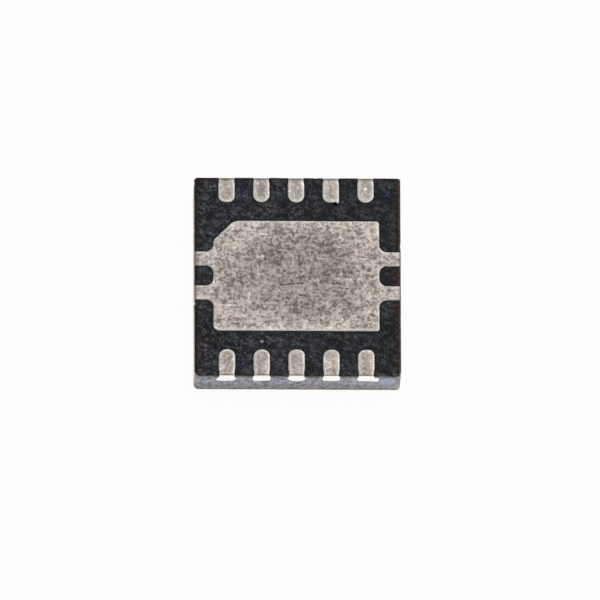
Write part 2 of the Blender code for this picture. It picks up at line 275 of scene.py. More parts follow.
# Places of the leads' feet, and the radii of their tips' left and right corners, seen
# with the tip pointing down. Terminal 4 has a crooked tip with a spur.
FACE = 0.750
FRAME_X = -0.015
FRAME_Y = 0.008
LEAD_PITCH = 0.500
LEAD_HALF_WIDTH = 0.118
LEAD_TIPS_APART = 2.206
NECK_INSET = 0.010
NECK_LENGTH = 0.045
NECK_SLOPE = 0.060
BEND_STEP = math.radians(6)
TIP_RADII = {
    1: (0.098, 0.092), 2: (0.116, 0.116), 3: (0.114, 0.106), 4: (0.100, 0.0), 5: (0.114, 0.112),
    6: (0.086, 0.104), 7: (0.098, 0.110), 8: (0.094, 0.100), 9: (0.110, 0.116), 10: (0.106, 0.114),
}
CROOKED_TIP = [(0.046, 0.0), (0.056, 0.010), (0.070, 0.008), (0.088, -0.010),
               (0.104, -0.014), (0.114, -0.002), (0.118, 0.030)]
STEP_HEIGHT = 0.650
POCKET_GAP = 0.003
POCKET_FLOOR = STEP_HEIGHT + 0.002
PIT_FLOOR = STEP_HEIGHT + 0.010
CUTTER_TOP = FACE + 0.020
# Ragged pit that the crooked tip tore in the epoxy, from the tip's end, in X and Y.
PIT = [(0.010, 0.012), (0.014, -0.012), (0.030, -0.020), (0.044, -0.036), (0.062, -0.046), (0.080, -0.042),
       (0.094, -0.034), (0.110, -0.024), (0.112, 0.012)]


def bend(cx, cy, radius, start, turn):
    """Points along an arc; a positive turn runs counter-clockwise."""
    count = round(abs(turn) / BEND_STEP)
    angles = np.linspace(start, start + turn, count + 1)
    return [(cx + radius * math.cos(a), cy + radius * math.sin(a)) for a in angles]


def lead_place(number):
    """Which side a lead stands on, and its place along the row."""
    if number <= 5:
        return 1, FRAME_X + (number - 3) * LEAD_PITCH
    return -1, FRAME_X + (8 - number) * LEAD_PITCH


def lead_outline(number, grow_tip, grow_side):
    """Bar with a round tip, from the saw cut inwards, counter-clockwise."""
    side, row_x = lead_place(number)
    tip = FRAME_Y + side * (LEAD_TIPS_APART / 2 - grow_tip)
    wall = side * BODY_HALF_Y
    reach = abs(wall - tip)
    half = LEAD_HALF_WIDTH + grow_side
    left, right = (radius + grow_side for radius in TIP_RADII[number])
    neck = half - NECK_INSET
    low = reach - NECK_LENGTH
    quarter = math.pi / 2
    points = [(neck, reach), (-neck, reach), (-neck, low), (-half, low - NECK_SLOPE)]
    points += bend(-half + left, left, left, 2 * quarter, quarter)
    if number == 4:
        spread = half / LEAD_HALF_WIDTH
        points += [(x * spread, y) for x, y in CROOKED_TIP]
    else:
        points += bend(half - right, right, right, 3 * quarter, quarter)
    points += [(half, low - NECK_SLOPE), (neck, low)]
    return [(row_x + side * x, tip + side * y) for x, y in points]


def prism(name, outline, low, high):
    """Upright block on a counter-clockwise outline."""
    count = len(outline)
    points = [(x, y, z) for z in (low, high) for x, y in outline]
    faces = [list(range(count))[::-1], list(range(count, 2 * count))]
    faces += [[i, (i + 1) % count, count + (i + 1) % count, count + i] for i in range(count)]
    return mesh_piece(name, points, faces)


mould_z = np.concatenate([
    np.arange(0.0, RIM + 0.004, CORNER_STEP),
    np.linspace(0.060, BODY_TOP - 0.060, 27),
    BODY_TOP - np.arange(0.0, RIM + 0.004, CORNER_STEP)[::-1],
])
lattice, mould_quads = lattice_skin(places_along(BODY_HALF_X), places_along(BODY_HALF_Y), mould_z)
mould = mesh_piece("package_mould", weathered(worn_block(lattice)), mould_quads)
boolean(mould, mould_core(), "INTERSECT")
for number in range(1, 11):
    pocket = prism("pocket", lead_outline(number, POCKET_GAP, POCKET_GAP), POCKET_FLOOR, CUTTER_TOP)
    boolean(mould, pocket, "DIFFERENCE")
side, row_x = lead_place(4)
pit_outline = [(row_x + x, FRAME_Y + LEAD_TIPS_APART / 2 + y) for x, y in PIT]
boolean(mould, prism("pit", pit_outline, PIT_FLOOR, CUTTER_TOP), "DIFFERENCE")
smooth_shaded(mould, 35)


class Finish:
    """Procedural finish whose grain is laid out in millimetres on the part."""

    def __init__(self, name, roughness, metallic=0.0, specular=0.5):
        self.material = bpy.data.materials.new(name)
        self.material.use_nodes = True
        self.tree = self.material.node_tree
        self.shader = self.tree.nodes["Principled BSDF"]
        self.shader.inputs["Roughness"].default_value = roughness
        self.shader.inputs["Metallic"].default_value = metallic
        self.shader.inputs["Specular IOR Level"].default_value = specular
        self.place = self.node("ShaderNodeTexCoord").outputs["Object"]

    def node(self, kind, **settings):
        made = self.tree.nodes.new(kind)
        for key, value in settings.items():
            setattr(made, key, value)
        return made

    def feed(self, target, value):
        if isinstance(value, bpy.types.NodeSocket):
            self.tree.links.new(value, target)
        else:
            target.default_value = value

    def stretched(self, stretch, turn=0.0):
        """Coordinates in millimetres, turned about Z and then stretched."""
        mapping = self.node("ShaderNodeMapping", vector_type="TEXTURE")
        self.feed(mapping.inputs["Vector"], self.place)
        mapping.inputs["Rotation"].default_value = (0.0, 0.0, math.radians(turn))
        mapping.inputs["Scale"].default_value = [MM * value for value in stretch]
        return mapping.outputs["Vector"]

    def grain(self, scale, detail=2.0, rough=0.5, stretch=(1, 1, 1), turn=0.0, seed=0.0):
        texture = self.node("ShaderNodeTexNoise", noise_dimensions="4D")
        self.feed(texture.inputs["Vector"], self.stretched(stretch, turn))
        texture.inputs["W"].default_value = seed
        texture.inputs["Scale"].default_value = scale
        texture.inputs["Detail"].default_value = detail
        texture.inputs["Roughness"].default_value = rough
        return texture.outputs["Fac"]

    def specks(self, scale, low, high):
        """Small round spots: 1 in their middle, 0 between them."""
        texture = self.node("ShaderNodeTexVoronoi")
        self.feed(texture.inputs["Vector"], self.stretched((1, 1, 1)))
        texture.inputs["Scale"].default_value = scale
        return self.band(texture.outputs["Distance"], high, low)

    def band(self, source, low, high, out_low=0.0, out_high=1.0):
        """Smoothly rescale a value; low may lie above high to turn it round."""
        ramp = self.node("ShaderNodeMapRange", interpolation_type="SMOOTHSTEP")
        self.feed(ramp.inputs["Value"], source)
        if low > high:
            low, high, out_low, out_high = high, low, out_high, out_low
        ramp.inputs["From Min"].default_value = low
        ramp.inputs["From Max"].default_value = high
        ramp.inputs["To Min"].default_value = out_low
        ramp.inputs["To Max"].default_value = out_high
        return ramp.outputs["Result"]

    def sums(self, first, second, operation="ADD"):
        maths = self.node("ShaderNodeMath", operation=operation)
        self.feed(maths.inputs[0], first)
        self.feed(maths.inputs[1], second)
        return maths.outputs[0]

    def colours(self, amount, first, second, blend="MIX"):
        mix = self.node("ShaderNodeMix", data_type="RGBA", blend_type=blend)
        self.feed(mix.inputs["Factor"], amount)
        ports = [port for port in mix.inputs if port.type == "RGBA"]
        for port, value in zip(ports, (first, second)):
            self.feed(port, (*value, 1.0) if isinstance(value, tuple) else value)
        return [port for port in mix.outputs if port.type == "RGBA"][0]

    def shaded(self, colour, amount):
        """A colour times a value."""
        return self.colours(1.0, colour, amount, "MULTIPLY")

    def share(self, value, part):
        """A value times another."""
        return self.sums(value, part, "MULTIPLY")

    def steps(self, value, stops):
        """Colours at given values, blended in between."""
        low, high = stops[0][0], stops[-1][0]
        ramp = self.node("ShaderNodeValToRGB")
        self.feed(ramp.inputs["Fac"], self.sums(self.sums(value, low, "SUBTRACT"), high - low, "DIVIDE"))
        marks = ramp.color_ramp.elements
        while len(marks) < len(stops):
            marks.new(0.5)
        for mark, (place, colour) in zip(marks, stops):
            mark.position = (place - low) / (high - low)
            mark.color = (*colour, 1.0)
        return ramp.outputs["Color"]

    def fleck(self, across, along, place, radius):
        """One spot at a place on the face: 1 in its middle, 0 outside."""
        aside = self.sums(across, place[0], "SUBTRACT")
        ahead = self.sums(along, place[1], "SUBTRACT")
        square = self.sums(self.share(aside, aside), self.share(ahead, ahead))
        return self.band(square, radius**2, 0.15 * radius**2)

    def painted(self, name):
        """A value that the mesh holds at each of its points."""
        return self.node("ShaderNodeAttribute", attribute_name=name).outputs["Fac"]

    def relief(self, height, depth, below=None):
        bump = self.node("ShaderNodeBump")
        self.feed(bump.inputs["Height"], height)
        bump.inputs["Distance"].default_value = depth * MM
        if below is not None:
            self.feed(bump.inputs["Normal"], below)
        return bump.outputs["Normal"]

    def colour(self, value):
        self.feed(self.shader.inputs["Base Color"], value)

    def gloss(self, value):
        self.feed(self.shader.inputs["Roughness"], value)

    def surface(self, normal):
        self.feed(self.shader.inputs["Normal"], normal)


def places_on(finish):
    """Where a point of the part is, in millimetres: sideways, forwards and up."""
    split = finish.node("ShaderNodeSeparateXYZ")
    finish.feed(split.inputs[0], finish.stretched((1, 1, 1)))
    return split.outputs


def moulding_compound():
    finish = Finish("black_moulding_compound", 0.5, specular=0.16)
    x, y, z = places_on(finish)
    cloud = finish.grain(2.2, 3, 0.6, seed=1)
    hue = finish.grain(3.4, 2, 0.5, seed=11)
    patch = finish.grain(9, 3, 0.62, stretch=(1.7, 1, 1), turn=-14, seed=2)
    crumb = finish.grain(18, 1, 0.5, stretch=(1.5, 1, 1), turn=-20, seed=3)
    filler = finish.grain(30, 1, 0.5, seed=4)
    glint = finish.specks(15, 0.10, 0.34)
    base = finish.colours(finish.band(cloud, 0.38, 0.62), (0.0020, 0.0014, 0.0016), (0.0030, 0.0052, 0.0110))
    grey = finish.colours(finish.band(hue, 0.40, 0.60), (0.0240, 0.0190, 0.0290), (0.0140, 0.0230, 0.0330))
    base = finish.colours(finish.band(patch, 0.46, 0.66), base, grey)
    base = finish.colours(finish.band(crumb, 0.50, 0.70), base, (0.0420, 0.0430, 0.0530))
    base = finish.colours(finish.share(finish.band(filler, 0.54, 0.72), 0.5), base, (0.1000, 0.1020, 0.1120))
    base = finish.colours(finish.share(finish.band(filler, 0.46, 0.30), 0.8), base, (0.0015, 0.0012, 0.0015))
    lone = finish.share(glint, finish.band(patch, 0.52, 0.60))
    base = finish.colours(finish.share(lone, 0.6), base, (0.150, 0.158, 0.180))
    for place, strength in FLECKS:
        fleck = finish.share(finish.fleck(x, y, place, 0.029), finish.band(z, 0.60, 0.70, 0.0, strength))
        base = finish.colours(fleck, base, (0.225, 0.240, 0.275))
    # Painted light: the face is lighter towards the left and darker towards the right.
    base = finish.shaded(base, finish.band(x, -1.4, 1.4, 1.35, 0.85))
    # Painted shade: the face darkens next to the pad and the leads.
    base = finish.colours(finish.share(finish.painted("painted_copper_shade"), 0.85), base, (0.0034, 0.0014, 0.0010))
    # Painted shade and highlights at the rounded rims of the face: brown along the left and right rims, near
    # black along the back rim, a tan painted highlight on the right rim and a pale painted highlight along
    # the front rim.
    reach_x = finish.sums(x, 0.0, "ABSOLUTE")
    shake = finish.share(finish.sums(patch, 0.5, "SUBTRACT"), 0.10)
    rim_shade_x = finish.band(finish.sums(reach_x, shake), BODY_HALF_X - 0.090, BODY_HALF_X - 0.048)
    rim_shade_y = finish.band(finish.sums(y, shake), BODY_HALF_Y - 0.062, BODY_HALF_Y - 0.030)
    brown = finish.colours(finish.band(crumb, 0.40, 0.62), (0.0140, 0.0030, 0.0015), (0.0300, 0.0125, 0.0085))
    back_rim_shade = finish.colours(finish.band(crumb, 0.40, 0.62), (0.0060, 0.0005, 0.0003), (0.0200, 0.0060, 0.0035))
    base = finish.colours(rim_shade_x, base, brown)
    base = finish.colours(rim_shade_y, base, back_rim_shade)
    tan = finish.colours(finish.band(filler, 0.40, 0.62), (0.0420, 0.0260, 0.0190), (0.1150, 0.0830, 0.0640))
    right_rim_light = finish.band(finish.sums(x, finish.share(shake, 0.3)), BODY_HALF_X - 0.046, BODY_HALF_X - 0.008)
    base = finish.colours(right_rim_light, base, tan)
    front_rim_light = finish.colours(finish.band(crumb, 0.40, 0.62), (0.0160, 0.0120, 0.0120), (0.0900, 0.0780, 0.0760))
    front = finish.band(finish.sums(y, finish.share(shake, 0.6)), 0.060 - BODY_HALF_Y, 0.004 - BODY_HALF_Y)
    base = finish.colours(front, base, front_rim_light)
    finish.colour(base)
    finish.gloss(finish.band(crumb, 0.3, 0.7, 0.60, 0.40))
    finish.surface(finish.relief(finish.sums(filler, crumb), 0.0060))
    return finish.material


# Tint and painted shade of the sawn walls over their height in millimetres: painted
# shade darkens the low edge by the floor to brown and the rim towards the board to
# near black along a broken line, and the middle is tinted violet.
WALL_TINTS_AND_SHADE = [
    (0.03, (0.40, 0.30, 0.20)), (0.12, (0.75, 0.60, 0.50)), (0.35, (0.85, 0.80, 0.90)),
    (0.50, (1.00, 1.00, 1.00)), (0.57, (0.90, 0.90, 0.85)), (0.72, (0.15, 0.15, 0.15)),
]


def sawn_compound():
    finish = Finish("sawn_moulding_compound", 0.3, specular=0.5)
    x, y, z = places_on(finish)
    line = finish.grain(17, 3, 0.6, stretch=(1.6, 1.6, 1.4), seed=5)
    spots = finish.grain(17, 3, 0.65, stretch=(1, 1, 1.7), seed=6)
    tint = finish.grain(4, 2, 0.5, stretch=(1, 1, 1.5), seed=7)
    ragged = finish.grain(9, 3, 0.6, stretch=(1, 1, 1.5), seed=8)
    shift = finish.share(finish.sums(ragged, 0.5, "SUBTRACT"), 0.16)
    # Painted shade over the wall's height, its line shaken by noise.
    tone = finish.steps(finish.sums(z, shift), WALL_TINTS_AND_SHADE)
    base = finish.colours(finish.band(tint, 0.42, 0.58), (0.252, 0.238, 0.316), (0.200, 0.242, 0.290))
    base = finish.colours(finish.band(line, 0.44, 0.60), base, (0.445, 0.460, 0.545))
    base = finish.colours(finish.share(finish.band(spots, 0.50, 0.36), 0.85), base, (0.075, 0.077, 0.085))
    base = finish.colours(finish.band(spots, 0.56, 0.72), base, (0.690, 0.680, 0.740))
    # Painted light: the walls are lighter towards the right.
    base = finish.shaded(base, finish.band(x, -1.4, 1.4, 0.95, 1.24))
    far = finish.share(finish.sums(z, 0.40, "SUBTRACT"), 0.4)
    pale = finish.share(finish.fleck(x, far, (1.320, 0.0), 0.150), finish.band(line, 0.36, 0.56, 0.25, 0.75))
    pale = finish.share(pale, finish.band(y, -1.30, -1.40))
    base = finish.colours(pale, base, (0.430, 0.560, 0.680))
    # The left wall is smoother and glossier, and its colour is lightened to pale grey, a painted reflection
    # of the white floor.
    smooth_and_sheen_side = finish.band(x, -1.470, -1.480)
    base = finish.shaded(base, tone)
    left_wall_sheen = finish.colours(finish.band(line, 0.40, 0.62), (0.330, 0.315, 0.345), (0.500, 0.485, 0.500))
    base = finish.colours(finish.share(smooth_and_sheen_side, 0.6), base, left_wall_sheen)
    # Browner colour near the vertical corners of the walls.
    corner = finish.band(finish.sums(x, 0.0, "ABSOLUTE"), 1.405, 1.445)
    corner = finish.share(corner, finish.band(finish.sums(y, 0.0, "ABSOLUTE"), 1.38, 1.44))
    corner_tint = finish.colours(finish.band(spots, 0.40, 0.62), (0.170, 0.125, 0.100), (0.420, 0.340, 0.300))
    base = finish.colours(finish.share(corner, 0.8), base, corner_tint)
    finish.colour(base)
    gloss = finish.band(spots, 0.3, 0.7, 0.46, 0.30)
    finish.gloss(finish.share(gloss, finish.band(smooth_and_sheen_side, 0.0, 1.0, 1.0, 0.5)))
    level = finish.share(tone, finish.band(corner, 0.0, 1.0, 0.50, 0.40))
    level = finish.sums(level, finish.share(smooth_and_sheen_side, 0.75), "MAXIMUM")
    finish.feed(finish.shader.inputs["Specular IOR Level"], level)
    ripple = finish.relief(line, 0.0012)
    finish.surface(finish.relief(spots, 0.0024, ripple))
    return finish.material


mould.data.materials.clear()
mould.data.materials.append(moulding_compound())
mould.data.materials.append(sawn_compound())
for face in mould.data.polygons:
    middle = face.center / MM
    gap_x = BODY_HALF_X - abs(middle.x)
    gap_y = BODY_HALF_Y - abs(middle.y)
    outside = min(gap_x, gap_y) < 0.013 or max(gap_x, gap_y) < CORNER_ZONE
    chipped = min(gap_x, gap_y) < 0.070 and abs(face.normal.z) < 0.75
    if (outside or chipped) and middle.z < BODY_TOP - 0.028:
        face.material_index = 1
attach(mould, "root")
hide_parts("moulded_body")

# Die paddle. The large exposed pad with its cut pin 1 corner and four tie bars, etched
# from one 0.2 mm copper sheet, thinned from below round its hidden rim, satin plated,
# and scratched from handling. Its tie bars were cut through with the epoxy.
SHEET_BACK = 0.547
PAD_HALF_X = 1.194
PAD_HALF_Y = 0.825
LOWER_CORNERS = {1: 0.035, -1: 0.085}
UPPER_CORNER = 0.050
PIN_1_CUT = 0.297
CUT_SOFTENING = {"upper": 0.200, "lower": 0.110}
TIE_HALF_PITCH = 0.255
TIE_HALF_WIDTH = 0.107
TIE_FILLET = 0.110
PAD_RIM = 0.045
ETCH_ROUND = 0.024
ETCH_DROP = 0.007
EDGE_RINGS = (0.004, 0.010, 0.017, 0.024)
CUT_ROUND = 0.036
PAD_GRID = 0.0125
OUTLINE_STEP = 0.012
SHELF_GRID = 0.12
SCRATCH_DEPTH = 0.0015
MARK_CORE = 1.35
MARK_SHAKE = 0.007
# Dark scratches and bright scuffs on the pad, where the photo shows them: both ends,
# half width and strength.
SCRATCHES = [
    ((-0.251, -0.133), (0.080, -0.102), 0.012, 1.0),
    ((0.022, 0.288), (0.041, -0.057), 0.010, 0.75),
    ((-0.335, 0.436), (-0.206, 0.262), 0.010, 0.60),
    ((-1.048, 0.338), (-0.978, 0.171), 0.010, 0.70),
    ((-0.947, 0.580), (-0.917, 0.517), 0.010, 0.50),
    ((0.829, 0.675), (0.950, 0.538), 0.008, 0.45),
    ((0.685, 0.421), (0.901, 0.432), 0.010, 0.50),
    ((-0.425, -0.614), (-0.306, -0.740), 0.010, 0.50),
    ((0.078, -0.612), (0.200, -0.671), 0.009, 0.50),
    ((0.029, -0.274), (0.108, -0.290), 0.012, 0.70),
    ((-0.719, -0.040), (-0.596, -0.145), 0.011, 0.75),
    ((-0.821, -0.082), (-0.783, -0.146), 0.012, 0.80),
    ((-0.718, 0.325), (-0.614, 0.261), 0.009, 0.50),
    ((-0.080, 0.672), (-0.061, 0.588), 0.011, 0.75),
    ((-0.282, 0.236), (-0.292, 0.176), 0.010, 0.80),
    ((-0.228, 0.244), (-0.256, 0.170), 0.009, 0.70),
    ((-0.152, 0.186), (-0.128, 0.130), 0.009, 0.60),
    ((0.756, 0.067), (0.785, 0.060), 0.020, 0.60),
    ((0.785, 0.142), (0.814, 0.136), 0.018, 0.60),
    ((0.206, 0.115), (0.232, 0.109), 0.017, 0.80),
    ((-0.287, 0.221), (-0.264, 0.197), 0.017, 0.50),
]
SCUFFS = [
    ((0.569, -0.036), (1.173, -0.033), 0.008, 0.60),
    ((1.058, 0.228), (1.432, 0.229), 0.009, 0.55),
    ((-0.580, 0.305), (-0.565, 0.305), 0.015, 0.95),
    ((-0.501, 0.301), (-0.486, 0.301), 0.014, 0.80),
    ((-0.624, 0.109), (-0.595, 0.110), 0.014, 0.70),
    ((0.611, 0.588), (0.623, 0.588), 0.014, 0.80),
    ((-0.407, -0.782), (-0.392, -0.785), 0.014, 0.80),
    ((-0.709, -0.373), (-0.697, -0.376), 0.014, 0.80),
    ((-0.697, -0.284), (-0.690, -0.270), 0.014, 0.60),
]


def divided_like(model, points, step):
    """A closed outline, its stretches divided as often as its model's need to be."""
    result = []
    ends = zip(model, model[1:] + model[:1], points, points[1:] + points[:1])
    for first, second, (ax, ay), (bx, by) in ends:
        count = max(1, round(math.dist(first, second) / step))
        for share in np.arange(count) / count:
            result.append((ax + (bx - ax) * share, ay + (by - ay) * share))
    return result


def paddle_outline(grow):
    """Outline of the pad with its tie bars up to the saw cuts, counter-clockwise."""
    quarter = math.pi / 2
    half_x = PAD_HALF_X + grow
    half_y = PAD_HALF_Y + grow
    fillet = TIE_FILLET - grow
    half_bar = TIE_HALF_WIDTH + grow
    points = []
    for side in (1, -1):
        wall = BODY_HALF_X - side * FRAME_X
        low = LOWER_CORNERS[side] + grow
        end = bend(half_x - low, -half_y + low, low, -quarter, quarter)
        for middle in (-TIE_HALF_PITCH, TIE_HALF_PITCH):
            end += bend(half_x + fillet, middle - half_bar - fillet, fillet, 2 * quarter, -quarter)
            end += [(wall, middle - half_bar), (wall, middle + half_bar)]
            end += bend(half_x + fillet, middle + half_bar + fillet, fillet, -quarter, -quarter)
        if side > 0:
            high = UPPER_CORNER + grow
            end += bend(half_x - high, half_y - high, high, 0.0, quarter)
            points += end
        else:
            cut = PIN_1_CUT + grow * (2 - math.sqrt(2))
            soft = CUT_SOFTENING["lower"] + grow
            end += bend(half_x - soft, half_y - cut - soft * math.tan(quarter / 4), soft, 0.0, quarter / 2)
            soft = CUT_SOFTENING["upper"] + grow
            lap = soft * math.tan(quarter / 4)
            end += bend(half_x - cut - lap, half_y - soft, soft, quarter / 2, quarter / 2)
            points += [(-x, y) for x, y in reversed(end)]
    return [(x + FRAME_X, y + FRAME_Y) for x, y in points]


def uncut(points):
    """Test for outlines that no saw crosses."""
    return np.zeros(len(points), bool)


def gap_to_outline(points, outline, open_side=uncut):
    """Distance from each point to the etched stretches of an outline."""
    ring = np.array(outline)
    ends = np.roll(ring, -1, axis=0)
    kept = ~(open_side(ring) & open_side(ends))
    ring, ends = ring[kept], ends[kept]
    along = ends - ring
    length = (along**2).sum(1)
    best = np.full(len(points), 9.0)
    for first in range(0, len(points), 2000):
        part = points[first:first + 2000, None, :] - ring[None]
        share = np.clip((part * along[None]).sum(2) / length[None], 0, 1)
        off = part - share[..., None] * along[None]
        best[first:first + 2000] = np.sqrt((off**2).sum(2).min(1))
    return best


def inward(outline, distance):
    """Ring at a small distance inside a counter-clockwise outline."""
    ring = np.array(outline)
    ahead = np.roll(ring, -1, axis=0) - ring
    behind = ring - np.roll(ring, 1, axis=0)
    ahead /= np.hypot(*ahead.T)[:, None]
    behind /= np.hypot(*behind.T)[:, None]
    tangent = ahead + behind
    normal = np.stack([-tangent[:, 1], tangent[:, 0]], axis=1)
    normal /= np.hypot(*normal.T)[:, None]
    spread = np.clip((normal * np.stack([-ahead[:, 1], ahead[:, 0]], axis=1)).sum(1), 0.5, 1)
    return ring + normal * (distance / spread)[:, None]


def cap(outline, rings, grid):
    """Triangles that fill an outline, through its inner rings and a slightly shaken grid."""
    ring = np.array(outline)
    low, high = ring.min(0), ring.max(0)
    xs = np.arange(low[0] + grid / 2, high[0], grid)
    ys = np.arange(low[1] + grid / 2, high[1], grid)
    cloud = np.stack(np.meshgrid(xs, ys), axis=-1).reshape(-1, 2)
    cloud += np.random.default_rng(11).uniform(-0.2, 0.2, cloud.shape) * grid
    inside = polygon_holds(ring, cloud)
    cloud = cloud[inside]
    gap = gap_to_outline(cloud, outline)
    cloud = cloud[gap > max(rings, default=0.0) + 0.5 * grid]
    points = [ring] + [inward(outline, distance) for distance in rings] + [cloud]
    points = np.concatenate(points)
    edges = [(i, (i + 1) % len(ring)) for i in range(len(ring))]
    filled = geometry.delaunay_2d_cdt([Vector(p) for p in points], edges, [], 1, 1e-7)
    made, faces, origins = filled[0], filled[2], filled[3]
    order = {}
    for new, olds in enumerate(origins):
        for old in olds:
            order[old] = new
    flat = np.array([tuple(point) for point in made])
    return flat, [list(face) for face in faces], [order[i] for i in range(len(ring))]


def polygon_holds(ring, points):
    """Which points lie inside a closed outline."""
    inside = np.zeros(len(points), bool)
    ends = np.roll(ring, -1, axis=0)
    for (ax, ay), (bx, by) in zip(ring, ends):
        if ay == by:
            continue
        crosses = (points[:, 1] < ay) != (points[:, 1] < by)
        meet = ax + (points[:, 1] - ay) * (bx - ax) / (by - ay)
        inside ^= crosses & (points[:, 0] < meet)
    return inside


def band_between(above, below):
    """Quads between two rings of point numbers."""
    pairs = list(zip(above, below))
    return [[a, b, d, c] for (a, b), (c, d) in zip(pairs, pairs[1:] + pairs[:1])]


def etched_plate(name, foot, shelf, grid, open_side, surface):
    """Closed mesh of a foot that stands on a wider, thinner shelf.

    The foot's top takes its heights from surface(points, gap to the etched edge).
    """
    top, faces, rim = cap(foot, EDGE_RINGS, grid)
    gap = gap_to_outline(top, foot, open_side)
    gap[rim] = np.where(open_side(top[rim]), gap[rim], 0.0)
    points = np.column_stack([top, surface(top, gap)])
    low, low_faces, low_rim = cap(shelf, [], SHELF_GRID)
    edge = points[rim, 2]
    rings = [(np.array(foot), edge + (STEP_HEIGHT - edge) * share) for share in (0.5, 1.0)]
    rings.append((np.array(shelf), np.full(len(shelf), STEP_HEIGHT - 0.001)))
    previous = rim
    for ring, heights in rings:
        current = list(range(len(points), len(points) + len(ring)))
        points = np.vstack([points, np.column_stack([ring, heights])])
        faces += band_between(previous, current)
        previous = current
    start = len(points)
    points = np.vstack([points, np.column_stack([low, np.full(len(low), SHEET_BACK)])])
    faces += [[start + i for i in reversed(face)] for face in low_faces]
    faces += band_between(previous, [start + i for i in low_rim])
    return mesh_piece(name, points, faces), points, gap


def past_wall(half, axis):
    """Test for outline points that lie on a saw cut."""
    return lambda points: abs(abs(points[:, axis]) - half) < 1e-6


def rounded_drop(gap, width, depth):
    share = np.clip(1 - gap / width, 0, 1)
    return depth * (1 - np.sqrt(1 - share**2))


def paint(item, name, values):
    """Keep one value for each point of the mesh for the material to read."""
    layer = item.data.attributes.new(name, "FLOAT", "POINT")
    full = np.zeros(len(item.data.vertices), np.float32)
    full[:len(values)] = values
    layer.data.foreach_set("value", full)


def line_gap(points, start, end):
    """Distance of points from a straight scratch."""
    start, end = np.array(start), np.array(end)
    along = end - start
    share = np.clip(((points - start) @ along) / (along @ along), 0, 1)
    return np.hypot(*(points - start - share[:, None] * along).T)


def marks_at(points, marks):
    """How deep points lie in the nearest of the marks, from 0 to 1."""
    flat = np.column_stack([points, np.zeros(len(points))])
    shaken = points + MARK_SHAKE * np.column_stack([wander(flat, 0.05, 12), wander(flat, 0.05, 13)])
    depths = []
    for start, end, width, strength in marks:
        depth = MARK_CORE * np.exp(-((line_gap(shaken, start, end) / width) ** 2))
        depths.append(strength * np.minimum(depth, 1.0))
    return np.max(depths, axis=0)


def paddle_surface(points, gap):
    """Slightly lumpy rolled face, rounded where it was etched and where it was sawn."""
    flat = np.column_stack([points, np.zeros(len(points))])
    lumps = 0.5 + 0.5 * wander(flat, 0.21, 6)
    lumps += 0.5 + 0.5 * wander(flat, 0.055, 7)
    lumps += 0.6 * (0.5 + 0.5 * wander(flat, 0.030, 8))
    z = FACE - 0.0002 - 0.0011 * lumps
    z -= SCRATCH_DEPTH * marks_at(points, SCRATCHES)
    z -= rounded_drop(gap, ETCH_ROUND, ETCH_DROP)
    z -= rounded_drop(BODY_HALF_X - abs(points[:, 0]), CUT_ROUND, CUT_ROUND)
    return z


pad_foot = paddle_outline(0.0)
pad_shelf = divided_like(pad_foot, paddle_outline(PAD_RIM), OUTLINE_STEP)
pad_foot = divided_like(pad_foot, pad_foot, OUTLINE_STEP)
paddle, paddle_points, paddle_gap = etched_plate(
    "exposed_pad", pad_foot, pad_shelf, PAD_GRID, past_wall(BODY_HALF_X, 0), paddle_surface)
smooth_shaded(paddle, 40)


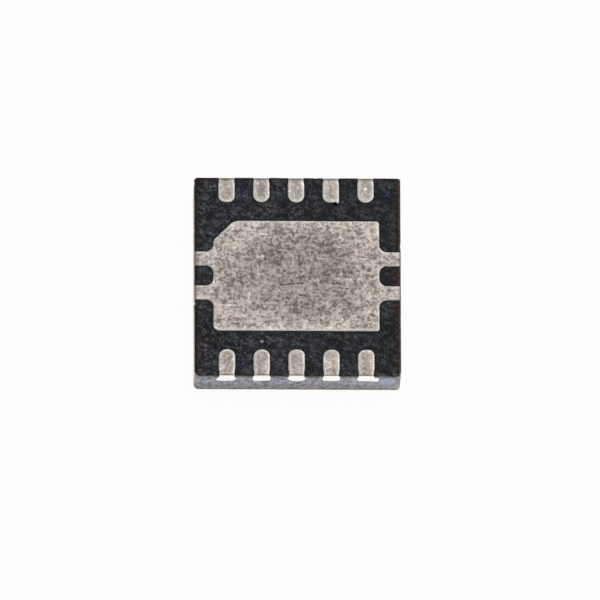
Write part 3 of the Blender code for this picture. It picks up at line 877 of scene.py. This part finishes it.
def satin_plating():
    finish = Finish("satin_plating", 0.42, metallic=1.0)
    x, y, _ = places_on(finish)
    cloud = finish.grain(2.6, 3, 0.6, seed=11)
    mottle = finish.grain(13, 4, 0.68, stretch=(1.25, 1, 1), turn=3, seed=12)
    fine = finish.grain(23, 1, 0.5, stretch=(1.15, 1, 1), seed=13)
    pits = finish.specks(13, 0.12, 0.34)
    warm = finish.grain(2.6, 3, 0.6, seed=14)
    tone = finish.sums(finish.sums(mottle, fine), finish.share(cloud, 0.5))
    base = finish.colours(finish.band(tone, 1.00, 1.52), (0.125, 0.110, 0.101), (0.490, 0.443, 0.404))
    tints = finish.colours(finish.band(warm, 0.35, 0.65), (1.012, 0.966, 0.980), (0.962, 0.985, 0.950))
    base = finish.shaded(base, tints)
    calm = finish.share(finish.painted("calm"), 0.48)
    base = finish.colours(calm, base, (0.262, 0.240, 0.216))
    dark_strokes, light_strokes = None, None
    for turn, seed, length in ((2, 21, 7.0), (38, 22, 3.5), (97, 23, 3.5), (176, 24, 9.0)):
        line = finish.grain(27, 1, 0.5, stretch=(length, 1.2, 1), turn=turn, seed=seed)
        dark = finish.band(line, 0.40, 0.27)
        light = finish.band(line, 0.62, 0.74)
        dark_strokes = dark if dark_strokes is None else finish.sums(dark_strokes, dark, "MAXIMUM")
        light_strokes = light if light_strokes is None else finish.sums(light_strokes, light, "MAXIMUM")
    dark_share = finish.band(finish.painted("calm"), 0.0, 1.0, 0.38, 0.22)
    base = finish.colours(finish.share(dark_strokes, dark_share), base, (0.100, 0.088, 0.080))
    base = finish.colours(finish.share(light_strokes, 0.50), base, (0.620, 0.570, 0.530))
    lone = finish.share(pits, finish.band(mottle, 0.48, 0.60))
    base = finish.colours(finish.share(lone, 0.6), base, (0.640, 0.605, 0.580))
    # Painted shade: the pad is darker in its middle and lighter towards its ends.
    across = finish.sums(x, 1.25, "DIVIDE")
    along = finish.sums(y, 0.85, "DIVIDE")
    reach = finish.sums(finish.share(across, across), finish.share(along, along))
    base = finish.shaded(base, finish.band(reach, 0.15, 1.0, 0.66, 0.93))
    base = finish.colours(finish.share(finish.painted("scratch"), 0.85), base, (0.060, 0.048, 0.043))
    scuff = finish.share(finish.painted("scuff"), finish.band(mottle, 0.40, 0.60, 0.15, 0.85))
    base = finish.colours(scuff, base, (0.640, 0.590, 0.560))
    base = finish.colours(finish.fleck(x, y, (0.983, 1.313), 0.019), base, (0.900, 0.870, 0.840))
    # Painted highlight along the etched edges.
    rim = finish.painted("rim")
    base = finish.colours(finish.share(rim, 0.85), base, (0.600, 0.585, 0.550))
    cut = finish.painted("sawn")
    base = finish.colours(finish.share(cut, 0.75), base, (0.260, 0.190, 0.148))
    # Painted shade along sawn rims.
    base = finish.colours(finish.painted("painted_edge_shade"), base, (0.055, 0.032, 0.024))
    face = finish.painted("cut_face")
    saw_lines = finish.band(finish.grain(24, 2, 0.5, stretch=(9, 9, 1), seed=25), 0.40, 0.60)
    base = finish.colours(face, base, finish.colours(saw_lines, (0.970, 0.950, 0.905), (1.000, 0.995, 0.975)))
    finish.colour(base)
    satin = finish.band(fine, 0.3, 0.7, 0.36, 0.50)
    finish.gloss(finish.share(satin, finish.band(face, 0.0, 1.0, 1.0, 0.4)))
    dents = finish.relief(tone, 0.004)
    finish.surface(finish.relief(dark_strokes, -0.0012, dents))
    return finish.material


plating = satin_plating()
paddle_high = paddle_points[:len(paddle_gap), 2] > 0.7
# Painted highlight along the pad's etched edge, stronger along its near side.
low_edge = np.where(paddle_points[:len(paddle_gap), 1] < -0.72, 0.85, 0.45)
paint(paddle, "rim", low_edge * np.exp(-((paddle_gap / 0.032) ** 1.5)) * paddle_high)
paddle_wall = BODY_HALF_X - abs(paddle_points[:, 0])
cut_width = np.where(paddle_points[:, 0] < 0, 0.055, 0.032)
paint(paddle, "sawn", np.clip((cut_width - paddle_wall) / 0.020, 0, 1))
paint(paddle, "cut_face", (paddle_wall < 0.0005) * np.clip((0.712 - paddle_points[:, 2]) / 0.02, 0, 1))
# Painted shade along the top of the tie bars' sawn ends.
paint(paddle, "painted_edge_shade", 0.35 * np.clip((0.014 - paddle_wall) / 0.012, 0, 1) * (paddle_points[:, 2] > 0.7))
paddle_top = paddle_points[:len(paddle_gap), :2]
paint(paddle, "scratch", marks_at(paddle_top, SCRATCHES))
paint(paddle, "scuff", marks_at(paddle_top, SCUFFS))
for vertex in paddle.data.vertices:
    share = min(max((-vertex.co.x / MM - 1.30) / (BODY_HALF_X - 1.30), 0.0), 1.0)
    vertex.co.x += 0.9 * LEFT_LOSS * share * MM
paddle.data.materials.append(plating)
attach(paddle, "root")
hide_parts("die_paddle")

# Leads. Ten etched and plated copper terminals, five along each long side, with round
# tips, held in the epoxy by a thinner shelf below. Each was sawn off flush with the
# wall, which leaves a bright face and, on the outer ones, a smeared burr.
SHELF_AHEAD = 0.060
SHELF_ASIDE = 0.020
LEAD_GRID = 0.0075
LEAD_STEP = 0.009
FAR_CUT_ROUND = 0.070
NEAR_CUT_ROUND = 0.020
BURR_LIFT = (0.0002, 0.0040)
# Share of even grey plating on each lead whose face differs from the others.
CALM_PLATING = {1: 0.8, 3: 1.7, 4: 0.7, 5: 1.2, 6: 0.8, 7: 0.7, 10: 0.45}
# Burrs that the saw dragged over the near wall below each lead: their outlines as read
# in the photo's pixels, and what turns a pixel on that wall into X and Z.
BURR_PIXELS = {
    6: [(374.1, 376.6), (374.4, 377.9), (376.2, 378.1), (378.5, 377.8), (379.0, 379.8), (378.2, 381.7),
        (376.0, 381.6), (370.8, 381.1), (364.5, 381.0), (358.8, 380.9), (357.6, 379.4), (358.9, 376.6)],
    7: [(339.6, 376.4), (340.2, 378.2), (339.5, 380.7), (334.0, 381.0),
        (324.4, 380.8), (323.0, 379.4), (322.9, 377.4), (324.6, 376.4)],
    8: [(304.3, 376.3), (305.0, 378.4), (303.4, 380.7), (298.0, 381.0),
        (293.3, 380.9), (289.2, 379.7), (288.0, 377.8), (289.6, 376.2)],
    9: [(270.3, 376.1), (271.0, 377.8), (270.1, 380.4), (263.0, 380.7),
        (254.7, 380.6), (253.2, 379.8), (252.8, 378.2), (253.8, 376.0)],
    10: [(234.6, 376.0), (235.4, 379.2), (234.4, 380.4), (226.0, 380.7),
         (217.4, 380.3), (216.3, 379.2), (218.6, 377.3), (220.4, 376.2)],
}
PIXELS_ALONG = 69.573
PIXELS_DOWN = 20.0
EDGE_PIXEL = (297.75, 375.42)
EDGE_SLOPE = 0.3408


def lead_surface(number):
    def heights_of(points, gap):
        flat = np.column_stack([points, np.full(len(points), 0.3 * number)])
        lumps = 0.5 + 0.5 * wander(flat, 0.16, 9)
        lumps += 0.5 + 0.5 * wander(flat, 0.040, 10)
        z = FACE - 0.0002 - 0.0012 * lumps
        z -= rounded_drop(gap, ETCH_ROUND, ETCH_DROP)
        roundness = FAR_CUT_ROUND if number <= 5 else NEAR_CUT_ROUND
        z -= rounded_drop(BODY_HALF_Y - abs(points[:, 1]), roundness, roundness)
        return z
    return heights_of


def on_near_wall(px, py):
    """X and Z of a pixel of the photo that shows the near wall, to the micrometre."""
    x = (px - EDGE_PIXEL[0]) / PIXELS_ALONG
    z = FACE - (py - EDGE_PIXEL[1] - EDGE_SLOPE * x) / PIXELS_DOWN
    return round(x, 3), round(z, 3)


def smeared_burr(pixels):
    """Thin copper flap that the saw dragged over the wall, from its outline in the photo."""
    outline = [on_near_wall(*pixel) for pixel in pixels]
    count = len(outline)
    front, back = ([(x, depth - BODY_HALF_Y, z) for x, z in outline] for depth in BURR_LIFT)
    faces = [list(range(count)), list(range(2 * count - 1, count - 1, -1))]
    for i in range(count):
        j = (i + 1) % count
        faces.append([i, j, count + j, count + i])
    return mesh_piece("burr", front + back, faces)


for number in range(1, 11):
    side, row_x = lead_place(number)
    foot = lead_outline(number, 0.0, 0.0)
    shelf = lead_outline(number, SHELF_AHEAD, SHELF_ASIDE)
    shelf = divided_like(foot, shelf, LEAD_STEP)
    foot = divided_like(foot, foot, LEAD_STEP)
    lead, points, gap = etched_plate(
        f"terminal_{number}", foot, shelf, LEAD_GRID, past_wall(BODY_HALF_Y, 1), lead_surface(number))
    if number in BURR_PIXELS:
        boolean(lead, smeared_burr(BURR_PIXELS[number]), "UNION")
    smooth_shaded(lead, 40)
    points = np.array([tuple(vertex.co) for vertex in lead.data.vertices]) / MM
    top = points[:, 2] > 0.7
    gap = gap_to_outline(points[:, :2], foot, past_wall(BODY_HALF_Y, 1))
    wall_gap = BODY_HALF_Y - abs(points[:, 1])
    far_row = 0.9 if side > 0 else 0.0
    paint(lead, "calm", np.full(len(points), CALM_PLATING.get(number, 1.0)))
    # Painted highlight along each lead's etched edge.
    paint(lead, "rim", 0.80 * np.exp(-((gap / 0.034) ** 1.5)) * top)
    paint(lead, "sawn", np.clip((0.018 - wall_gap) / 0.010, 0, 1))
    paint(lead, "cut_face", (wall_gap < 0.0030) * np.clip((0.738 - points[:, 2]) / 0.010, 0, 1))
    # Painted shade along the sawn rim of the back row of leads.
    paint(lead, "painted_edge_shade", far_row * np.clip((0.030 - wall_gap) / 0.020, 0, 1))
    lead.data.materials.clear()
    lead.data.materials.append(plating)
    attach(lead, "root")
    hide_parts(f"lead_{number}")

# Painted shade. The mould's face is darkened close to the pad and the leads, which stand
# up from it.
COPPER_SHADE_REACH = 0.050
mould_points = np.array([tuple(vertex.co) for vertex in mould.data.vertices]) / MM
on_face = mould_points[:, 2] > BODY_TOP - 0.01
painted_copper_shade = np.zeros(len(mould_points))
for outline in [pad_foot] + [lead_outline(number, 0.0, 0.0) for number in range(1, 11)]:
    gap = gap_to_outline(mould_points[on_face, :2], outline)
    painted_copper_shade[on_face] = np.maximum(painted_copper_shade[on_face], np.clip(1 - gap / COPPER_SHADE_REACH, 0, 1))
paint(mould, "painted_copper_shade", painted_copper_shade)

# Die attach. Epoxy glue filled with silver flakes, dispensed on the paddle and pressed
# out to a thin even film by the die, which it holds and cools.


def silver_glue():
    finish = Finish("silver_filled_glue", 0.6, metallic=0.4)
    flakes = finish.grain(60, 3, 0.7, seed=31)
    finish.colour(finish.colours(finish.band(flakes, 0.35, 0.65), (0.30, 0.29, 0.28), (0.62, 0.61, 0.60)))
    finish.gloss(finish.band(flakes, 0.3, 0.7, 0.45, 0.70))
    finish.surface(finish.relief(flakes, 0.003))
    return finish.material


def coat(name, material):
    """Give a piece that is shown as it comes its finish."""
    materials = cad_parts[name].data.materials
    materials.clear()
    materials.append(material)


coat("die_attach", silver_glue())

# Die. Silicon, polished on its circuit side and ground on its back, glued to the
# paddle with its circuit side away from the board.


def silicon_finish():
    finish = Finish("silicon", 0.25, metallic=0.3)
    cells = finish.grain(14, 1, 0.5, stretch=(3, 1, 1), seed=41)
    film = finish.grain(3, 2, 0.5, seed=42)
    base = finish.colours(finish.band(cells, 0.45, 0.55), (0.12, 0.13, 0.19), (0.24, 0.24, 0.27))
    finish.colour(finish.colours(finish.band(film, 0.4, 0.7, 0.0, 0.4), base, (0.20, 0.15, 0.26)))
    finish.gloss(finish.band(cells, 0.4, 0.6, 0.18, 0.34))
    finish.surface(finish.relief(cells, 0.0006))
    return finish.material


coat("die", silicon_finish())

# Bond wires. Ten drawn gold wires, each bonded to the die with a ball and stitched to
# the back of its lead, and held in the epoxy along its whole loop.


def gold_wire():
    finish = Finish("drawn_gold", 0.25, metallic=1.0)
    draw = finish.grain(70, 2, 0.5, stretch=(1, 6, 1), seed=51)
    finish.colour(finish.colours(finish.band(draw, 0.35, 0.65), (0.72, 0.47, 0.16), (0.90, 0.66, 0.30)))
    finish.gloss(finish.band(draw, 0.3, 0.7, 0.18, 0.36))
    finish.surface(finish.relief(draw, 0.0008))
    return finish.material


gold = gold_wire()
for number in range(1, 11):
    coat(f"bond_wire_{number}", gold)

# Floor. A wide white sheet under the package, bright enough to blow out, which still
# takes the thin shadow at the package's foot.
FLOOR_HALF = 2.0
FLOOR_SHADE = 0.05


def seen_plainly(tree):
    """1 for rays of the camera, of reflections and of what shows through, otherwise 0."""
    path = tree.nodes.new("ShaderNodeLightPath")
    seen = path.outputs["Is Camera Ray"]
    for kind in ("Is Glossy Ray", "Is Transmission Ray"):
        either = tree.nodes.new("ShaderNodeMath")
        either.operation = "MAXIMUM"
        tree.links.new(seen, either.inputs[0])
        tree.links.new(path.outputs[kind], either.inputs[1])
        seen = either.outputs[0]
    return seen


def floor_sheet():
    mesh = bpy.data.meshes.new("white_sheet")
    corners = [(-1, -1), (1, -1), (1, 1), (-1, 1)]
    mesh.from_pydata([(x * FLOOR_HALF, y * FLOOR_HALF, 0.0) for x, y in corners], [], [(0, 1, 2, 3)])
    sheet = bpy.data.objects.new("white_sheet", mesh)
    bpy.context.scene.collection.objects.link(sheet)
    material = bpy.data.materials.new("white_sheet")
    material.use_nodes = True
    tree = material.node_tree
    tree.nodes.clear()
    link = tree.links.new
    plain = tree.nodes.new("ShaderNodeBsdfDiffuse")
    plain.inputs["Color"].default_value = (0.8, 0.8, 0.8, 1.0)
    glow = tree.nodes.new("ShaderNodeEmission")
    glow.inputs["Strength"].default_value = 1.0 - FLOOR_SHADE
    shade = tree.nodes.new("ShaderNodeBsdfDiffuse")
    shade.inputs["Color"].default_value = (FLOOR_SHADE, FLOOR_SHADE, FLOOR_SHADE, 1.0)
    white = tree.nodes.new("ShaderNodeAddShader")
    link(glow.outputs[0], white.inputs[0])
    link(shade.outputs[0], white.inputs[1])
    mix = tree.nodes.new("ShaderNodeMixShader")
    link(seen_plainly(tree), mix.inputs[0])
    link(plain.outputs[0], mix.inputs[1])
    link(white.outputs[0], mix.inputs[2])
    end = tree.nodes.new("ShaderNodeOutputMaterial")
    link(mix.outputs[0], end.inputs["Surface"])
    mesh.materials.append(material)
    return sheet


floor_sheet()

# Light. An even white tent all round the package, with one wide soft lamp above it, a
# little behind and to the right, which brings out the worn rims.


def tent():
    world = bpy.data.worlds.new("white_tent")
    bpy.context.scene.world = world
    world.use_nodes = True
    tree = world.node_tree
    tree.nodes.clear()
    link = tree.links.new
    strength = tree.nodes.new("ShaderNodeMapRange")
    link(seen_plainly(tree), strength.inputs["Value"])
    strength.inputs["To Min"].default_value = 0.7
    strength.inputs["To Max"].default_value = 1.0
    glow = tree.nodes.new("ShaderNodeBackground")
    link(strength.outputs["Result"], glow.inputs["Strength"])
    end = tree.nodes.new("ShaderNodeOutputWorld")
    link(glow.outputs[0], end.inputs["Surface"])


def soft_lamp(name, place, size, watts):
    light = bpy.data.lights.new(name, "AREA")
    light.shape = "SQUARE"
    light.size = size
    light.energy = watts
    lamp = bpy.data.objects.new(name, light)
    bpy.context.scene.collection.objects.link(lamp)
    lamp.location = place
    lamp.rotation_euler = (-Vector(place)).to_track_quat("-Z", "Y").to_euler()


tent()
soft_lamp("overhead_softbox", (0.18, 0.22, 0.55), 0.35, 1.1)
bpy.context.scene.view_settings.view_transform = "Standard"
